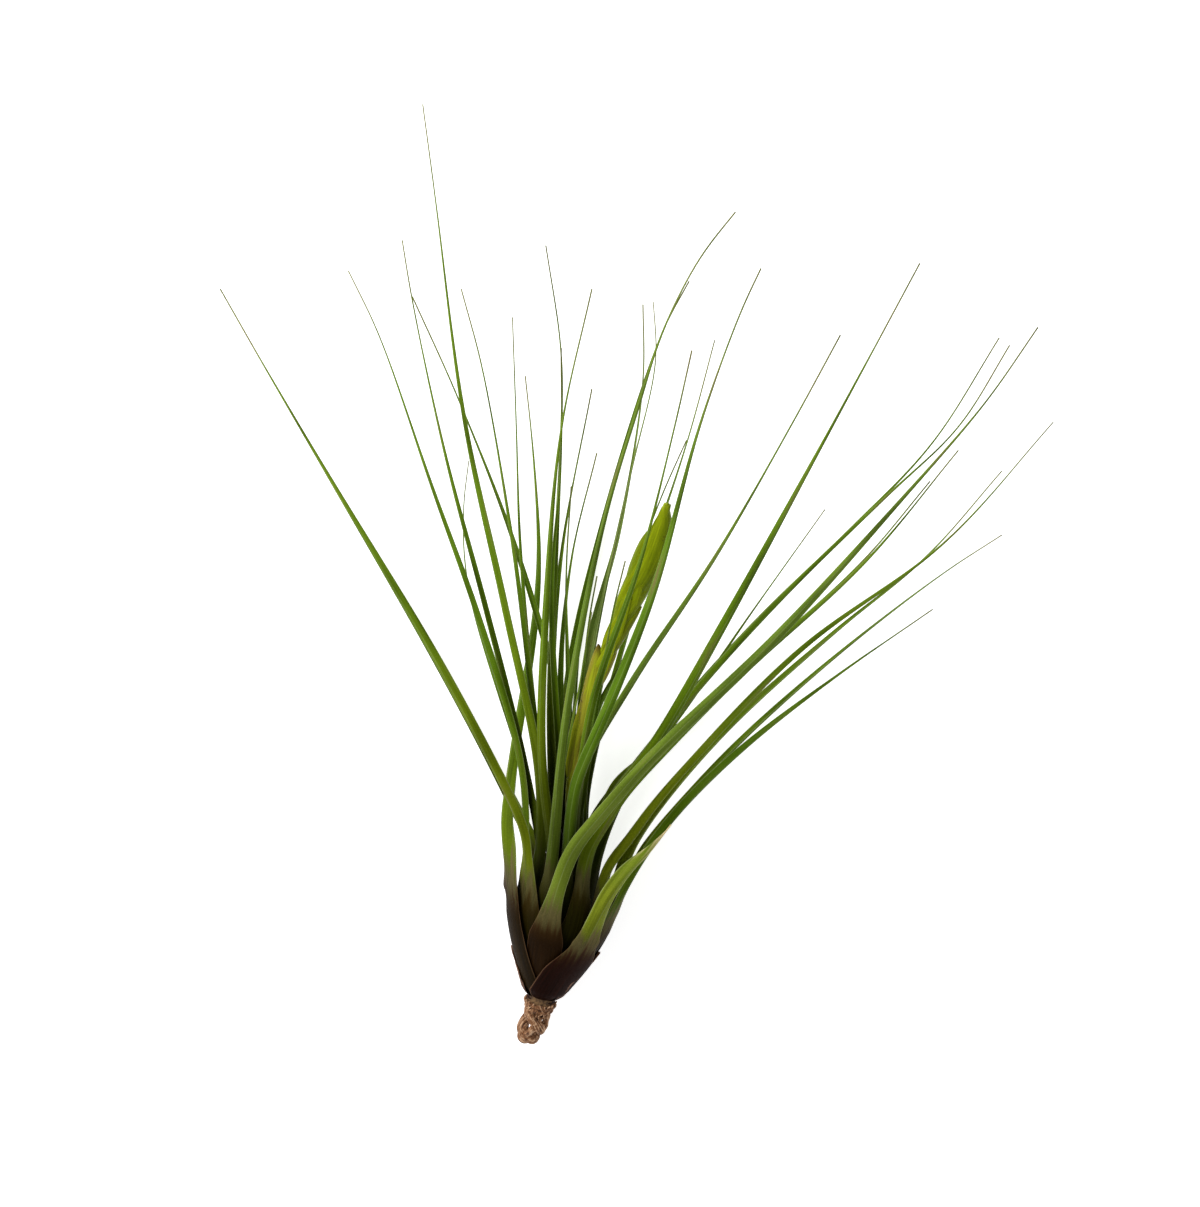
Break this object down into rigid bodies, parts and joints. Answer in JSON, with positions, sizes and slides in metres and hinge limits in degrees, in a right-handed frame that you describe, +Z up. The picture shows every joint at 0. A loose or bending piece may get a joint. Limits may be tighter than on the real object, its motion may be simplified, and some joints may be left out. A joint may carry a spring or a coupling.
{
  "type": "air plant",
  "caption": "Air plant as picked, lying on its back: long channelled leaves fan out of an onion-shaped bulb of clasping sheaths, with a flower spike and a knot of roots.",
  "frame": {"origin": "in the flat spot under the bulb that the plant rests on", "axes": "+Y along the plant from its roots towards its leaf tips, +Z up from the surface that it lies on, +X to its right"},
  "size_m": [0.3119, 0.3583, 0.1306],
  "materials": {
    "leaf": "satin green leaf with fine whitish scales in lengthwise rows, dark brown at the sheath",
    "stem": "matt fibrous tan stem",
    "flower_stalk": "satin yellow-green bracts, brown at the foot",
    "flower_head": "satin yellow-green bracts with tan points",
    "dry_sheath": "dry papery brown remnant",
    "roots": "matt wiry tan-brown roots"
  },
  "bodies": {
    "root": {"leaf_01": "leaf", "leaf_02": "leaf", "leaf_03": "leaf", "leaf_04": "leaf", "leaf_05": "leaf", "leaf_06": "leaf", "leaf_07": "leaf", "leaf_08": "leaf", "leaf_09": "leaf", "leaf_10": "leaf", "leaf_11": "leaf", "leaf_12": "leaf", "leaf_13": "leaf", "leaf_14": "leaf", "leaf_15": "leaf", "leaf_16": "leaf", "leaf_17": "leaf", "leaf_18": "leaf", "leaf_19": "leaf", "leaf_20": "leaf", "leaf_21": "leaf", "leaf_22": "leaf", "leaf_23": "leaf", "leaf_24": "leaf", "leaf_25": "leaf", "leaf_26": "leaf", "leaf_27": "leaf", "leaf_28": "leaf", "leaf_29": "leaf", "leaf_30": "leaf", "leaf_31": "leaf", "leaf_32": "leaf", "leaf_33": "leaf", "leaf_34": "leaf", "leaf_35": "leaf", "leaf_36": "leaf", "leaf_37": "leaf", "leaf_38": "leaf", "leaf_39": "leaf", "leaf_40": "leaf", "leaf_41": "leaf", "leaf_42": "leaf", "stem": "stem", "flower_stalk": "flower_stalk", "flower_head": "flower_head", "dry_sheath_1": "dry_sheath", "dry_sheath_2": "dry_sheath", "roots": "roots"}
  },
  "joints": []
}
